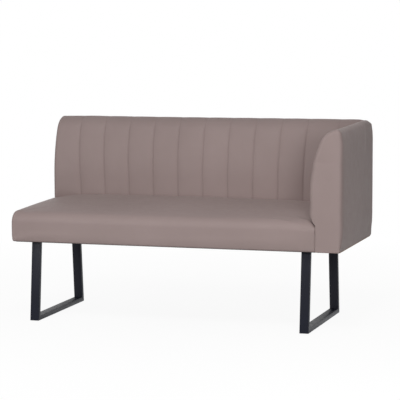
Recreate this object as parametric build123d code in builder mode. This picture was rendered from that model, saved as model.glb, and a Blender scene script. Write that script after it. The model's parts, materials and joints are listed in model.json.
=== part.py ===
import os
from math import cos, hypot, pi, sin, sqrt

from build123d import *

os.makedirs("parts", exist_ok=True)

# Millimetres. X runs along the bench, +Y points to its rear, +Z up.
# The origin is on the floor, under the middle of the bench's footprint.

# The whole bench
overall_length = 1480.0
overall_depth = 630.0
overall_height = 870.0
underside_height = 353.0

# Padded wall, which is the same section for the back and the arm
wall_base = 107.0
wall_bulge = 134.0
bulge_rise_share = 0.484
flat_rise_share = 0.342
tuck_rise_share = 0.222
crest_radius = 95.0
crest_setback = 4.0
outer_edge_radius = 18.0
corner_radius = 10.0
wall_end_radius = 16.0
back_end_inset = 13.0
panel_seam_share = 0.3

# Channels sewn into the back
channel_count = 11
first_channel_width = 131.0
channel_width = 118.0
channel_depth = 7.0
channel_top_depth = 3.0

# Seat cushion
seat_edge_rise = 133.0
seat_crown_rise = 36.0
seat_nose_radius = 45.0
seat_front_draw = 5.0
seat_end_radius = 12.0
seat_station_shares = (0.0, 0.03, 0.07, 0.13, 0.22, 0.36, 0.52, 0.68, 0.84, 1.0)
seat_crown_shares = (0.05, 0.36, 0.62, 0.8, 0.91, 0.97, 1.0, 0.98, 0.92, 0.78)
seat_cap_steps = 3

# Cover, padding and gaps
cover_thickness = 2.0
side_pad = 12.0
contact_gap = 0.3
overrun = 5.0

# Timber frame
rail_thickness = 22.0
rail_height = 80.0
cross_rail_width = 50.0
cross_rail_thickness = 35.0
corner_block_leg = 50.0
rib_thickness = 18.0
back_rib_count = 5
arm_rib_count = 3
post_depth = 44.0
top_rail_height = 45.0
bottom_rail_height = 45.0
wall_rail_thickness = 20.0
board_thickness = 3.0
crest_foam = 50.0
shoulder_height = 120.0

# Webbing
strap_width = 60.0
strap_thickness = 2.0
long_strap_count = 3
cross_strap_count = 9

# Underside
dust_cover_thickness = 1.0
dust_cover_inset = 6.0

# Skid frames, made of flat steel tube
tube_width = 40.0
tube_depth = 20.0
tube_wall = 2.0
skid_splay = 33.0
skid_front_setback = 15.0
skid_rear_setback = 30.0
left_skid_inset = 100.0
right_skid_inset = 50.0
strip_width = 60.0
strip_thickness = 4.0

# Glides under the skids
glide_thickness = 3.0
glide_radius = 13.0
glide_stem_radius = 4.0
glide_stem_length = 8.0
glide_end_inset = 40.0

# Bolts and tee nuts
bolt_radius = 4.0
bolt_head_radius = 7.5
bolt_head_height = 5.3
bolt_clearance = 0.5
nut_flange_radius = 11.0
nut_flange_thickness = 1.5
nut_barrel_radius = 5.0
nut_barrel_length = 9.0
nut_clearance = 0.1
skid_bolt_count = 4
skid_bolt_inset = 50.0

# Faces of the body
left_end = -overall_length / 2
right_end = overall_length / 2
front = -overall_depth / 2
rear = overall_depth / 2
base = underside_height
back_left = left_end + back_end_inset
seat_right = right_end - wall_base
seat_rear = rear - wall_base
wall_height = overall_height - underside_height
seat_edge_height = base + seat_edge_rise

# Heights in the seat frame, from its rails to the top of its webbing
side_rail_top = base + rail_height
end_rail_top = side_rail_top + strap_thickness
webbing_top = end_rail_top + strap_thickness
cross_rail_top = base + cross_rail_thickness

# Outer faces of the timber in the seat
seat_frame_left = left_end + cover_thickness + side_pad
seat_frame_right = seat_right - cover_thickness
seat_frame_front = front + cover_thickness + side_pad
seat_frame_rear = seat_rear - cover_thickness

# Depths in a wall's frame, counted inwards from the wall's outer face
board_face = cover_thickness
post_outer = board_face + board_thickness
post_inner = post_outer + post_depth
upper_face = post_inner + board_thickness
lower_face = wall_base - cover_thickness
lower_rail_outer = lower_face - wall_rail_thickness
bottom_rail_inner = post_outer + wall_rail_thickness

# Heights and ends of the walls' frames
wall_frame_top = overall_height - crest_foam
rib_top = wall_frame_top - top_rail_height
shoulder_bottom = side_rail_top
shoulder_top = shoulder_bottom + shoulder_height
bottom_rail_top = base + bottom_rail_height
back_frame_left = back_left + wall_end_radius
arm_frame_front = front + wall_end_radius
outer_seam_height = overall_height - outer_edge_radius - channel_top_depth

# Skids
strip_top = base - dust_cover_thickness
tube_top = strip_top - strip_thickness
left_skid_x = left_end + left_skid_inset
right_skid_x = seat_right - right_skid_inset
skid_front = front + skid_front_setback
skid_rear = rear - skid_rear_setback
skid_lean = skid_splay / (tube_top - glide_thickness)
skid_slant = sqrt(1 + skid_lean**2)


def save(piece, name):
    """Label a finished piece and write it under its own name."""
    piece.part.label = name
    export_step(piece.part, f"parts/{name}.step")


def slab(x_span, y_span, z_span, mode=Mode.ADD):
    """Add a rectangular block that fills three spans to the part being built."""
    with BuildSketch(Plane.XY.offset(z_span[0])) as plan:
        with Locations(((x_span[0] + x_span[1]) / 2, (y_span[0] + y_span[1]) / 2)):
            Rectangle(x_span[1] - x_span[0], y_span[1] - y_span[0])
    extrude(plan.sketch, amount=z_span[1] - z_span[0], mode=mode)


def back_plane(x):
    """Section plane of the back: its first axis runs forward from the rear face, its second up."""
    return Plane(origin=(x, rear, 0), x_dir=(0, -1, 0), z_dir=(-1, 0, 0))


def arm_plane(y):
    """Section plane of the arm: its first axis runs inward from the outer face, its second up."""
    return Plane(origin=(right_end, y, 0), x_dir=(-1, 0, 0), z_dir=(0, 1, 0))


def on_arc(centre, radius, towards):
    """Point of a circle on the side that faces another point."""
    across = towards[0] - centre[0]
    up = towards[1] - centre[1]
    return (centre[0] + radius * across / hypot(across, up), centre[1] + radius * up / hypot(across, up))


def arc_between(centre, radius, start, end):
    """Draw the short arc of a circle from one of its points to another."""
    middle = on_arc(centre, radius, ((start[0] + end[0]) / 2, (start[1] + end[1]) / 2))
    ThreePointArc(start, middle, end)


def wall_section(plane, face_inset=0.0, top_inset=0.0, outer_inset=0.0, lower_inset=0.0, drop=0.0):
    """Closed section of a padded wall, with its padded face, top, outer and lower faces set in.

    Five tangent curves make the padded side: the outer edge, the crest, the long face down to
    the bulge, a straight stretch, and the curve that tucks in above the seat frame.
    """
    edge_radius = outer_edge_radius - outer_inset
    crest = crest_radius - face_inset
    bulge = wall_bulge - face_inset
    lower = wall_base - lower_inset
    bulge_height = base + wall_height * bulge_rise_share
    flat_height = base + wall_height * flat_rise_share
    tuck_height = base + wall_height * tuck_rise_share

    edge_centre = (outer_edge_radius, overall_height - top_inset - edge_radius)
    edge_rise = sqrt((crest - edge_radius) ** 2 - (outer_edge_radius - crest_setback) ** 2)
    crest_centre = (crest_setback, edge_centre[1] - edge_rise)
    reach = bulge - crest_setback
    rise = crest_centre[1] - bulge_height
    face_radius = (reach**2 + rise**2 - crest**2) / (2 * (reach - crest))
    face_centre = (bulge - face_radius, bulge_height)
    step = wall_bulge - wall_base
    tuck_radius = (step**2 + (flat_height - tuck_height) ** 2) / (2 * step) - face_inset
    tuck_centre = (bulge - tuck_radius, flat_height)
    tuck_drop = sqrt(tuck_radius**2 - (lower - tuck_centre[0]) ** 2)

    bottom = base - drop
    edge_start = (outer_inset, edge_centre[1])
    edge_end = on_arc(crest_centre, crest, edge_centre)
    crest_end = on_arc(face_centre, face_radius, crest_centre)
    bulge_point = (bulge, bulge_height)
    flat_end = (bulge, flat_height)
    tuck = (lower, flat_height - tuck_drop)
    with BuildSketch(plane) as section:
        with BuildLine():
            Line((outer_inset, bottom), edge_start)
            arc_between(edge_centre, edge_radius, edge_start, edge_end)
            arc_between(crest_centre, crest, edge_end, crest_end)
            arc_between(face_centre, face_radius, crest_end, bulge_point)
            Line(bulge_point, flat_end)
            arc_between(tuck_centre, tuck_radius, flat_end, tuck)
            Line(tuck, (lower, bottom))
            Line((lower, bottom), (outer_inset, bottom))
        make_face()
    return section.sketch


def upper_edges(face):
    """Edges of a wall's end face that lie above the tuck, where the end is rounded."""
    tuck_height = base + wall_height * tuck_rise_share
    return face.edges().filter_by(lambda edge: edge.center().Z > tuck_height)


def corner_block(inset):
    """Tall block over the bench's plan, set in all round, with its rear right corner rounded."""
    with BuildPart() as block:
        with BuildSketch(Plane.XY) as plan:
            Rectangle(overall_length - 2 * inset, overall_depth - 2 * inset)
            fillet(plan.vertices().group_by(Axis.Y)[-1].sort_by(Axis.X)[-1], radius=corner_radius - inset)
        extrude(plan.sketch, amount=overall_height + overrun)
    return block.part


def mitre_plane(side):
    """Upright plane that halves the corner. The back lies on its side -1, the arm on its side 1."""
    return Plane(origin=(right_end, rear, 0), x_dir=(0, 0, 1), z_dir=(side, -side, 0))


def back_form(inset, channel_inset, top_inset, drop=0.0):
    """Plain body of the back: mitred at the corner, rounded at its free end."""
    section = wall_section(
        back_plane(right_end),
        face_inset=inset + channel_inset,
        top_inset=inset + top_inset,
        outer_inset=inset,
        lower_inset=inset,
        drop=drop,
    )
    with BuildPart() as form:
        extrude(section, amount=right_end - back_left - inset, dir=(-1, 0, 0))
        fillet(upper_edges(form.faces().sort_by(Axis.X)[0]), radius=wall_end_radius - inset)
        add(corner_block(inset), mode=Mode.INTERSECT)
        split(bisect_by=mitre_plane(-1))
    return form.part


def seam_section(x):
    """Section of the back's cover where it is sewn down."""
    return wall_section(back_plane(x), face_inset=channel_depth, top_inset=channel_top_depth)


def channelled_form():
    """Outer body of the back: a soft tube of cover for each channel, drawn in at every seam."""
    bulge_face = right_end - wall_bulge
    seams = [back_left + first_channel_width + channel_width * index for index in range(channel_count - 1)]
    edges = [back_left] + seams + [bulge_face]
    crowns = [(left + right) / 2 for left, right in zip(edges, edges[1:])]
    with BuildPart() as form:
        for left, crown, right in zip(edges, crowns, edges[1:]):
            loft(sections=[seam_section(left), wall_section(back_plane(crown)), seam_section(right)])
        extrude(wall_section(back_plane(crowns[0])), amount=crowns[0] - back_left, dir=(-1, 0, 0))
        extrude(wall_section(back_plane(crowns[-1])), amount=right_end - crowns[-1], dir=(1, 0, 0))
        fillet(upper_edges(form.faces().sort_by(Axis.X)[0]), radius=wall_end_radius)
        add(corner_block(0), mode=Mode.INTERSECT)
        split(bisect_by=mitre_plane(-1))
    return form.part


def arm_form(inset, drop=0.0):
    """Plain body of the arm: mitred at the corner, rounded at its front."""
    section = wall_section(
        arm_plane(front + inset),
        face_inset=inset,
        top_inset=inset,
        outer_inset=inset,
        lower_inset=inset,
        drop=drop,
    )
    with BuildPart() as form:
        extrude(section, amount=overall_depth - inset, dir=(0, 1, 0))
        fillet(upper_edges(form.faces().sort_by(Axis.Y)[0]), radius=wall_end_radius - inset)
        add(corner_block(inset), mode=Mode.INTERSECT)
        split(bisect_by=mitre_plane(1))
    return form.part


def seat_section(x, crown_height, inset, face_inset, drop):
    """Closed section of the seat cushion: drawn-in front, rounded nose, crowned top, flat rear."""
    plane = Plane(origin=(x, 0, 0), x_dir=(0, 1, 0), z_dir=(1, 0, 0))
    nose_radius = seat_nose_radius - face_inset
    nose_centre = (front + seat_nose_radius, seat_edge_height - seat_nose_radius)
    back_line = seat_rear - inset
    crown = crown_height - face_inset
    run = back_line - nose_centre[0]
    lift = crown - nose_centre[1]
    top_radius = (run**2 + lift**2 - nose_radius**2) / (2 * (lift - nose_radius))
    top_centre = (back_line, crown - top_radius)
    front_height = nose_centre[1] - base
    front_radius = (seat_front_draw**2 + front_height**2) / (2 * seat_front_draw) - face_inset
    front_centre = (front + face_inset + front_radius, nose_centre[1])
    bottom = base - drop
    front_foot = (front_centre[0] - sqrt(front_radius**2 - (nose_centre[1] - bottom) ** 2), bottom)
    nose_start = (front + face_inset, nose_centre[1])
    nose_end = on_arc(top_centre, top_radius, nose_centre)
    with BuildSketch(plane) as section:
        with BuildLine():
            arc_between(front_centre, front_radius, front_foot, nose_start)
            arc_between(nose_centre, nose_radius, nose_start, nose_end)
            arc_between(top_centre, top_radius, nose_end, (back_line, crown))
            Line((back_line, crown), (back_line, bottom))
            Line((back_line, bottom), front_foot)
        make_face()
    return section.sketch


def seat_form(inset, drop=0.0):
    """Body of the seat cushion, tucked in under the bulges of the back and the arm.

    One loft runs along the crowned top. A short ruled one rounds the cushion's free end.
    """
    end_radius = seat_end_radius - inset
    left = left_end + inset + end_radius
    right = seat_right - inset
    crowns = [seat_edge_height + seat_crown_rise * share for share in seat_crown_shares]
    stations = [left + (right - left) * share for share in seat_station_shares]
    turns = [pi / 2 * step / seat_cap_steps for step in range(seat_cap_steps + 1)]
    with BuildPart() as form:
        loft(sections=[seat_section(x, crown, inset, inset, drop) for x, crown in zip(stations, crowns)])
        caps = [(left - end_radius * cos(turn), inset + end_radius * (1 - sin(turn))) for turn in turns]
        loft(sections=[seat_section(x, crowns[0], inset, face, drop) for x, face in caps], ruled=True)
        gap = contact_gap + inset
        extrude(
            wall_section(back_plane(left_end - overrun), face_inset=-gap, drop=drop + overrun),
            amount=overall_length,
            dir=(1, 0, 0),
            mode=Mode.SUBTRACT,
        )
        extrude(
            wall_section(arm_plane(front - overrun), face_inset=-gap, drop=drop + overrun),
            amount=overall_depth,
            dir=(0, 1, 0),
            mode=Mode.SUBTRACT,
        )
    return form.part


def frame_space(plane, amount, direction):
    """Cut the space of a wall's timber frame out of the foam being built."""
    with BuildSketch(plane) as section:
        with BuildLine():
            Polyline(
                (-overrun, base - overrun),
                (-overrun, wall_frame_top),
                (upper_face, wall_frame_top),
                (upper_face, shoulder_top),
                (lower_face, shoulder_bottom),
                (lower_face + overrun, shoulder_bottom),
                (lower_face + overrun, base - overrun),
                close=True,
            )
        make_face()
    extrude(section.sketch, amount=amount, dir=direction, mode=Mode.SUBTRACT)


def cut_wall_frames():
    """Cut the frames of both walls out of the foam being built."""
    frame_space(back_plane(back_frame_left), right_end - back_frame_left + overrun, (1, 0, 0))
    frame_space(arm_plane(arm_frame_front), rear - arm_frame_front + overrun, (0, 1, 0))


def rib(plane, direction):
    """Add one plywood rib of a wall, notched for the rails, to the part being built."""
    with BuildSketch(plane) as section:
        with BuildLine():
            Polyline(
                (post_outer, bottom_rail_top),
                (post_outer, rib_top),
                (post_inner, rib_top),
                (post_inner, shoulder_top),
                (upper_face, shoulder_top),
                (lower_face, shoulder_bottom),
                (lower_rail_outer, shoulder_bottom),
                (lower_rail_outer, base),
                (bottom_rail_inner, base),
                (bottom_rail_inner, bottom_rail_top),
                close=True,
            )
        make_face()
    extrude(section.sketch, amount=rib_thickness, dir=direction)


def evenly(first, last, count):
    """Positions from the first to the last, at an even pitch."""
    return [first + (last - first) * index / (count - 1) for index in range(count)]


def middles(places):
    """Points halfway between neighbouring places."""
    return [(left + right) / 2 for left, right in zip(places, places[1:])]


def rear_facing(y, places):
    """Planes at the joining bolts' height on a face that looks to the rear."""
    return [Plane(origin=(x, y, joint_height), z_dir=(0, 1, 0)) for x in places]


def right_facing(x, places):
    """Planes at the joining bolts' height on a face that looks to the right."""
    return [Plane(origin=(x, y, joint_height), z_dir=(1, 0, 0)) for y in places]


def hex_bolt(length):
    """Bolt that points up, with the underside of its head at height zero."""
    with BuildPart() as bolt:
        with BuildSketch(Plane.XY):
            RegularPolygon(radius=bolt_head_radius, side_count=6)
        extrude(amount=-bolt_head_height)
        with BuildSketch(Plane.XY):
            Circle(bolt_radius)
        extrude(amount=length)
    return bolt.part


def tee_nut():
    """Tee nut whose flange stands on height zero and whose barrel points down."""
    with BuildPart() as nut:
        with BuildSketch(Plane.XY):
            Circle(nut_flange_radius)
        extrude(amount=nut_flange_thickness)
        with BuildSketch(Plane.XY):
            Circle(nut_barrel_radius)
        extrude(amount=-nut_barrel_length)
        Hole(radius=bolt_radius + nut_clearance)
    return nut.part


def nut_hole():
    """Cut a bolt hole with a wider seat for a tee nut's barrel."""
    CounterBoreHole(
        radius=bolt_radius + bolt_clearance,
        counter_bore_radius=nut_barrel_radius + nut_clearance,
        counter_bore_depth=nut_barrel_length + nut_clearance,
    )


# Places of the ribs and of the bolts that join the seat to the walls
back_ribs = evenly(back_frame_left, seat_frame_right - rib_thickness, back_rib_count)
arm_ribs = evenly(arm_frame_front, seat_frame_rear - rib_thickness, arm_rib_count)
joint_height = (cross_rail_top + side_rail_top) / 2
back_bolt_places = [x + rib_thickness / 2 for x in middles(back_ribs)]
arm_bolt_places = [y + rib_thickness / 2 for y in middles(arm_ribs)]
joint_bolt_length = rail_thickness + 2 * cover_thickness + wall_rail_thickness

# Places of the bolts that hold the skids
skid_bolt_first = skid_front + skid_splay + tube_depth * skid_slant + skid_bolt_inset
skid_bolt_last = seat_frame_rear - rail_thickness - skid_bolt_inset
skid_bolt_rows = evenly(skid_bolt_first, skid_bolt_last, skid_bolt_count)
skid_bolt_places = [(x, y) for x in (left_skid_x, right_skid_x) for y in skid_bolt_rows]


def skid_front_edge(height, depth):
    """Distance to the rear of a front post's face, or of a line set into the post."""
    return skid_front + skid_lean * (height - glide_thickness) + depth * skid_slant


def skid_rear_edge(height, depth):
    """The same for a rear post, which leans the other way."""
    return skid_rear - skid_lean * (height - glide_thickness) - depth * skid_slant


def skid_outline(x, inset, top):
    """Side view of a skid frame: two leaning posts on a foot bar, open at the top."""
    low = glide_thickness + inset
    foot = glide_thickness + tube_depth - inset
    inner = tube_depth - inset
    with BuildSketch(Plane.YZ.offset(x)) as outline:
        with BuildLine():
            Polyline(
                (skid_front_edge(low, inset), low),
                (skid_rear_edge(low, inset), low),
                (skid_rear_edge(top, inset), top),
                (skid_rear_edge(top, inner), top),
                (skid_rear_edge(foot, inner), foot),
                (skid_front_edge(foot, inner), foot),
                (skid_front_edge(top, inner), top),
                (skid_front_edge(top, inset), top),
                close=True,
            )
        make_face()
    return outline.sketch


# Two skid frames, each with a mounting strip welded across its posts
for side, skid_x in (("left", left_skid_x), ("right", right_skid_x)):
    with BuildPart() as skid_frame:
        extrude(skid_outline(skid_x, 0.0, tube_top), amount=tube_width / 2, both=True)
        extrude(
            skid_outline(skid_x, tube_wall, tube_top + overrun),
            amount=tube_width / 2 - tube_wall,
            both=True,
            mode=Mode.SUBTRACT,
        )
        with BuildSketch(Plane.XY.offset(glide_thickness)):
            with Locations((skid_x, skid_front + glide_end_inset), (skid_x, skid_rear - glide_end_inset)):
                Circle(glide_stem_radius + nut_clearance)
        extrude(amount=tube_wall, mode=Mode.SUBTRACT)
    save(skid_frame, f"{side}_skid_frame")

    with BuildPart() as mounting_strip:
        slab(
            (skid_x - strip_width / 2, skid_x + strip_width / 2),
            (skid_front_edge(tube_top, 0.0), skid_rear_edge(tube_top, 0.0)),
            (tube_top, strip_top),
        )
        with Locations(*[(x, y, strip_top) for x, y in skid_bolt_places if x == skid_x]):
            Hole(radius=bolt_radius + bolt_clearance)
    save(mounting_strip, f"{side}_mounting_strip")

# Glides that plug into the foot bars
with BuildPart() as floor_glides:
    glide_spots = [
        (x, y)
        for x in (left_skid_x, right_skid_x)
        for y in (skid_front + glide_end_inset, skid_rear - glide_end_inset)
    ]
    with BuildSketch(Plane.XY):
        with Locations(*glide_spots):
            Circle(glide_radius)
    extrude(amount=glide_thickness)
    with BuildSketch(Plane.XY.offset(glide_thickness)):
        with Locations(*glide_spots):
            Circle(glide_stem_radius)
    extrude(amount=glide_stem_length)
save(floor_glides, "floor_glides")

# Fasteners of the skids
with BuildPart() as skid_bolts:
    with Locations(*[(x, y, tube_top) for x, y in skid_bolt_places]):
        add(hex_bolt(cross_rail_top - tube_top))
save(skid_bolts, "skid_bolts")

with BuildPart() as skid_tee_nuts:
    with Locations(*[(x, y, cross_rail_top) for x, y in skid_bolt_places]):
        add(tee_nut())
save(skid_tee_nuts, "skid_tee_nuts")

# Cloth that closes the underside
with BuildPart() as dust_cover:
    slab(
        (back_left + dust_cover_inset, right_end - dust_cover_inset),
        (front + seat_front_draw + dust_cover_inset, rear - dust_cover_inset),
        (strip_top, base),
    )
    with Locations(*[(x, y, base) for x, y in skid_bolt_places]):
        Hole(radius=bolt_radius + bolt_clearance)
save(dust_cover, "underside_dust_cover")

# Rails of the seat frame
seat_inner_front = seat_frame_front + rail_thickness
seat_inner_rear = seat_frame_rear - rail_thickness
seat_inner_left = seat_frame_left + rail_thickness
seat_inner_right = seat_frame_right - rail_thickness

with BuildPart() as seat_front_rail:
    slab((seat_frame_left, seat_frame_right), (seat_frame_front, seat_inner_front), (base, end_rail_top))
save(seat_front_rail, "seat_front_rail")

with BuildPart() as seat_rear_rail:
    slab((seat_frame_left, seat_frame_right), (seat_inner_rear, seat_frame_rear), (base, end_rail_top))
    with Locations(*rear_facing(seat_frame_rear, back_bolt_places)):
        Hole(radius=bolt_radius + bolt_clearance)
save(seat_rear_rail, "seat_rear_rail")

with BuildPart() as seat_left_rail:
    slab((seat_frame_left, seat_inner_left), (seat_inner_front, seat_inner_rear), (base, side_rail_top))
save(seat_left_rail, "seat_left_rail")

with BuildPart() as seat_right_rail:
    slab((seat_inner_right, seat_frame_right), (seat_inner_front, seat_inner_rear), (base, side_rail_top))
    with Locations(*right_facing(seat_frame_right, arm_bolt_places)):
        Hole(radius=bolt_radius + bolt_clearance)
save(seat_right_rail, "seat_right_rail")

# Flat cross rails, two of which carry the skids
middle_x = (seat_frame_left + seat_frame_right) / 2
for side, rail_x in (("left", left_skid_x), ("middle", middle_x), ("right", right_skid_x)):
    with BuildPart() as cross_rail:
        slab(
            (rail_x - cross_rail_width / 2, rail_x + cross_rail_width / 2),
            (seat_inner_front, seat_inner_rear),
            (base, cross_rail_top),
        )
        nut_seats = [(x, y, cross_rail_top) for x, y in skid_bolt_places if x == rail_x]
        if nut_seats:
            with Locations(*nut_seats):
                nut_hole()
    save(cross_rail, f"{side}_cross_rail")

# Glued blocks in the corners of the seat frame
with BuildPart() as seat_corner_blocks:
    with BuildSketch(Plane.XY.offset(cross_rail_top)) as block_plan:
        across = ((seat_inner_left, corner_block_leg), (seat_inner_right, -corner_block_leg))
        along = ((seat_inner_front, corner_block_leg), (seat_inner_rear, -corner_block_leg))
        for corner_x, step_x in across:
            for corner_y, step_y in along:
                with BuildLine():
                    Polyline(
                        (corner_x, corner_y),
                        (corner_x + step_x, corner_y),
                        (corner_x, corner_y + step_y),
                        close=True,
                    )
                make_face()
    extrude(amount=side_rail_top - cross_rail_top)
save(seat_corner_blocks, "seat_corner_blocks")

# Elastic webbing: long straps on the side rails, cross straps over them on the front and rear rails
with BuildPart() as long_webbing:
    pitch = (seat_inner_rear - seat_inner_front) / long_strap_count
    with BuildSketch(Plane.XY.offset(side_rail_top)):
        with Locations(((seat_frame_left + seat_frame_right) / 2, (seat_inner_front + seat_inner_rear) / 2)):
            with GridLocations(pitch, pitch, 1, long_strap_count):
                Rectangle(seat_frame_right - seat_frame_left, strap_width)
    extrude(amount=strap_thickness)
save(long_webbing, "long_seat_webbing")

with BuildPart() as cross_webbing:
    pitch = (seat_inner_right - seat_inner_left) / cross_strap_count
    with BuildSketch(Plane.XY.offset(end_rail_top)):
        with Locations((middle_x, (seat_frame_front + seat_frame_rear) / 2)):
            with GridLocations(pitch, pitch, cross_strap_count, 1):
                Rectangle(strap_width, seat_frame_rear - seat_frame_front)
    extrude(amount=strap_thickness)
save(cross_webbing, "cross_seat_webbing")

# Seat foam over the frame, and the sewn cover over the foam
with BuildPart() as seat_foam:
    add(seat_form(cover_thickness))
    slab(
        (seat_frame_left, seat_frame_right + overrun),
        (seat_frame_front, seat_frame_rear + overrun),
        (base - overrun, webbing_top),
        mode=Mode.SUBTRACT,
    )
save(seat_foam, "seat_foam")

with BuildPart() as seat_cover:
    add(seat_form(0.0))
    add(seat_form(cover_thickness, overrun), mode=Mode.SUBTRACT)
    with Locations(*rear_facing(seat_rear, back_bolt_places)):
        Hole(radius=bolt_radius + bolt_clearance, depth=cover_thickness + overrun)
    with Locations(*right_facing(seat_right, arm_bolt_places)):
        Hole(radius=bolt_radius + bolt_clearance, depth=cover_thickness + overrun)
save(seat_cover, "seat_cover")

# Ribs of the back and of the arm
for number, rib_x in enumerate(back_ribs, start=1):
    with BuildPart() as back_rib:
        rib(back_plane(rib_x), (1, 0, 0))
    save(back_rib, f"back_rib_{number}")

for number, rib_y in enumerate(arm_ribs, start=1):
    with BuildPart() as arm_rib:
        rib(arm_plane(rib_y), (0, 1, 0))
    save(arm_rib, f"arm_rib_{number}")

with BuildPart() as corner_post:
    slab(
        (right_end - post_inner, right_end - post_outer),
        (rear - post_inner, rear - post_outer),
        (base, wall_frame_top),
    )
save(corner_post, "corner_post")

# Rails and boards of the back
with BuildPart() as back_top_rail:
    slab(
        (back_frame_left, right_end - post_inner),
        (rear - post_inner, rear - post_outer),
        (rib_top, wall_frame_top),
    )
save(back_top_rail, "back_top_rail")

with BuildPart() as back_bottom_rail:
    slab(
        (back_frame_left, right_end - post_inner),
        (rear - bottom_rail_inner, rear - post_outer),
        (base, bottom_rail_top),
    )
save(back_bottom_rail, "back_bottom_rail")

with BuildPart() as back_seat_rail:
    slab(
        (back_frame_left, right_end - lower_rail_outer),
        (rear - lower_face, rear - lower_rail_outer),
        (base, side_rail_top),
    )
    nut_face = rear - lower_rail_outer
    with Locations(*rear_facing(nut_face, back_bolt_places)):
        nut_hole()
save(back_seat_rail, "back_seat_rail")

with BuildPart() as back_front_board:
    slab(
        (back_frame_left, right_end - post_inner),
        (rear - upper_face, rear - post_inner),
        (shoulder_top, wall_frame_top),
    )
save(back_front_board, "back_front_board")

with BuildPart() as back_rear_board:
    slab(
        (back_frame_left, right_end - corner_radius),
        (rear - post_outer, rear - board_face),
        (base, wall_frame_top),
    )
save(back_rear_board, "back_rear_board")

# Rails and boards of the arm
with BuildPart() as arm_top_rail:
    slab(
        (right_end - post_inner, right_end - post_outer),
        (arm_frame_front, rear - post_inner),
        (rib_top, wall_frame_top),
    )
save(arm_top_rail, "arm_top_rail")

with BuildPart() as arm_bottom_rail:
    slab(
        (right_end - bottom_rail_inner, right_end - post_outer),
        (arm_frame_front, rear - post_inner),
        (base, bottom_rail_top),
    )
save(arm_bottom_rail, "arm_bottom_rail")

with BuildPart() as arm_seat_rail:
    slab(
        (right_end - lower_face, right_end - lower_rail_outer),
        (arm_frame_front, rear - lower_face),
        (base, side_rail_top),
    )
    nut_face = right_end - lower_rail_outer
    with Locations(*right_facing(nut_face, arm_bolt_places)):
        nut_hole()
save(arm_seat_rail, "arm_seat_rail")

with BuildPart() as arm_inner_board:
    slab(
        (right_end - upper_face, right_end - post_inner),
        (arm_frame_front, rear - upper_face),
        (shoulder_top, wall_frame_top),
    )
save(arm_inner_board, "arm_inner_board")

with BuildPart() as arm_outer_board:
    slab(
        (right_end - post_outer, right_end - board_face),
        (arm_frame_front, rear - corner_radius),
        (base, wall_frame_top),
    )
save(arm_outer_board, "arm_outer_board")

# Bolts and nuts that join the seat to the back and to the arm
with BuildPart() as back_bolts:
    with Locations(*rear_facing(seat_inner_rear, back_bolt_places)):
        add(hex_bolt(joint_bolt_length))
save(back_bolts, "back_joining_bolts")

with BuildPart() as back_nuts:
    nut_face = rear - lower_rail_outer
    with Locations(*rear_facing(nut_face, back_bolt_places)):
        add(tee_nut())
save(back_nuts, "back_joining_tee_nuts")

with BuildPart() as arm_bolts:
    with Locations(*right_facing(seat_inner_right, arm_bolt_places)):
        add(hex_bolt(joint_bolt_length))
save(arm_bolts, "arm_joining_bolts")

with BuildPart() as arm_nuts:
    nut_face = right_end - lower_rail_outer
    with Locations(*right_facing(nut_face, arm_bolt_places)):
        add(tee_nut())
save(arm_nuts, "arm_joining_tee_nuts")

# Foam of the back and of the arm
with BuildPart() as back_foam:
    add(back_form(cover_thickness, channel_depth, channel_top_depth))
    cut_wall_frames()
save(back_foam, "back_foam")

with BuildPart() as arm_foam:
    add(arm_form(cover_thickness))
    cut_wall_frames()
save(arm_foam, "arm_foam")

# Sewn covers of the back: the channelled front, the flat rear and the end panel
back_seam = Plane(origin=(back_left + wall_end_radius * panel_seam_share, 0, 0), z_dir=(1, 0, 0))
rear_panel = (
    (left_end, right_end),
    (rear - outer_edge_radius, rear + overrun),
    (base - overrun, outer_seam_height),
)

with BuildPart() as back_shell:
    add(channelled_form())
    add(back_form(cover_thickness, channel_depth, channel_top_depth, overrun), mode=Mode.SUBTRACT)

with BuildPart() as back_channel_cover:
    add(back_shell.part)
    split(bisect_by=back_seam)
    slab(*rear_panel, mode=Mode.SUBTRACT)
    with Locations(*[Plane(origin=(x, seat_rear, joint_height), z_dir=(0, -1, 0)) for x in back_bolt_places]):
        Hole(radius=bolt_radius + bolt_clearance, depth=cover_thickness + overrun)
save(back_channel_cover, "back_channel_cover")

with BuildPart() as back_rear_cover:
    add(back_shell.part)
    split(bisect_by=back_seam)
    slab(*rear_panel, mode=Mode.INTERSECT)
save(back_rear_cover, "back_rear_cover")

with BuildPart() as back_end_cover:
    add(back_shell.part)
    split(bisect_by=back_seam, keep=Keep.BOTTOM)
save(back_end_cover, "back_end_cover")

# Sewn covers of the arm: the smooth inner side, the flat outer side and the front panel
arm_seam = Plane(origin=(0, front + wall_end_radius * panel_seam_share, 0), z_dir=(0, 1, 0))
outer_panel = (
    (right_end - outer_edge_radius, right_end + overrun),
    (front, rear),
    (base - overrun, outer_seam_height),
)

with BuildPart() as arm_shell:
    add(arm_form(0.0))
    add(arm_form(cover_thickness, overrun), mode=Mode.SUBTRACT)

with BuildPart() as arm_inner_cover:
    add(arm_shell.part)
    split(bisect_by=arm_seam)
    slab(*outer_panel, mode=Mode.SUBTRACT)
    with Locations(*[Plane(origin=(seat_right, y, joint_height), z_dir=(-1, 0, 0)) for y in arm_bolt_places]):
        Hole(radius=bolt_radius + bolt_clearance, depth=cover_thickness + overrun)
save(arm_inner_cover, "arm_inner_cover")

with BuildPart() as arm_outer_cover:
    add(arm_shell.part)
    split(bisect_by=arm_seam)
    slab(*outer_panel, mode=Mode.INTERSECT)
save(arm_outer_cover, "arm_outer_cover")

with BuildPart() as arm_front_cover:
    add(arm_shell.part)
    split(bisect_by=arm_seam, keep=Keep.BOTTOM)
save(arm_front_cover, "arm_front_cover")
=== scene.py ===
import json
import math

import bmesh
import bpy
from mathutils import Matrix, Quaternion, Vector


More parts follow.
